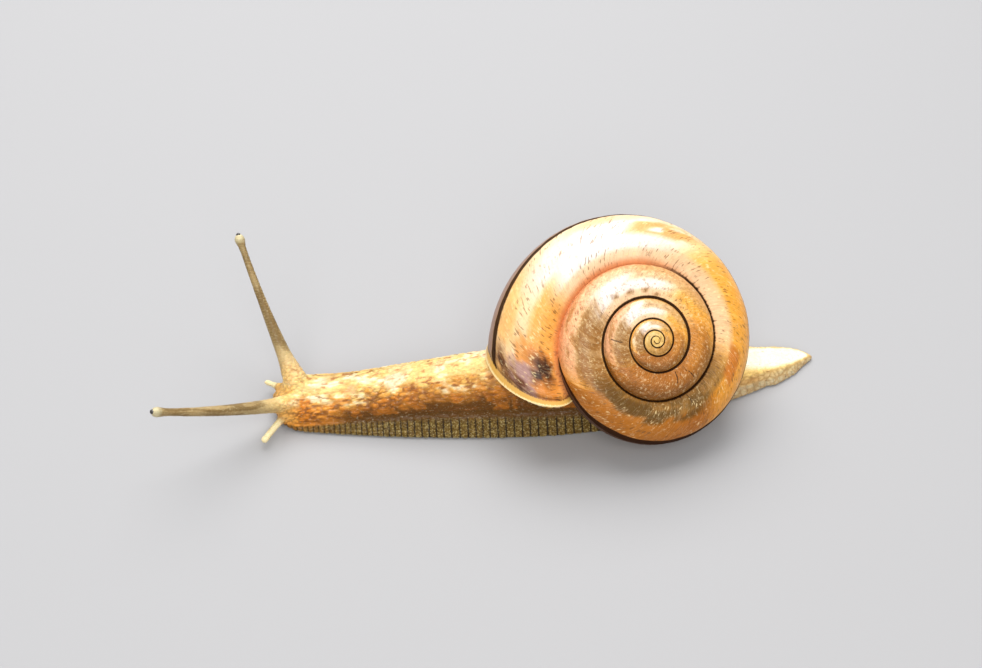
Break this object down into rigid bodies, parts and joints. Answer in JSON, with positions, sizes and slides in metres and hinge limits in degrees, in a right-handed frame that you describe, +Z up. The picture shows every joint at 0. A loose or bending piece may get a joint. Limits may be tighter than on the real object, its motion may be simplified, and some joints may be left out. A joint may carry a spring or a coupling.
{
  "type": "land snail",
  "caption": "Life-size crawling land snail with a left-coiling, low-spired amber shell, flat sole, tapering tail and extended feelers.",
  "frame": {"origin": "centre of the whole animal's box in plan, at the level of the sole", "axes": "+X from the head to the tail, along the body's longest extent; +Y to the snail's right; -Y to its left, the side the spire faces; +Z up, away from the sole"},
  "size_m": [0.0894, 0.03, 0.0244],
  "materials": {
    "shell": "glossy amber-tan shell with fine growth lines, a dark band round the whorl and dark seams",
    "flesh": "wet cream-yellow skin, flecked with brown, orange on the face",
    "feeler": "wet translucent beige-brown skin",
    "eye": "glossy dark brown"
  },
  "bodies": {
    "root": {"shell": "shell", "mantle_collar": "flesh", "head": "flesh", "neck": "flesh", "foot": "flesh", "tail": "flesh", "upper_tentacle_left_base": "feeler", "upper_tentacle_left_tip": "feeler", "upper_tentacle_right_base": "feeler", "upper_tentacle_right_tip": "feeler", "lower_tentacle_left": "flesh", "lower_tentacle_right": "flesh", "eye_left": "eye", "eye_right": "eye"}
  },
  "joints": []
}
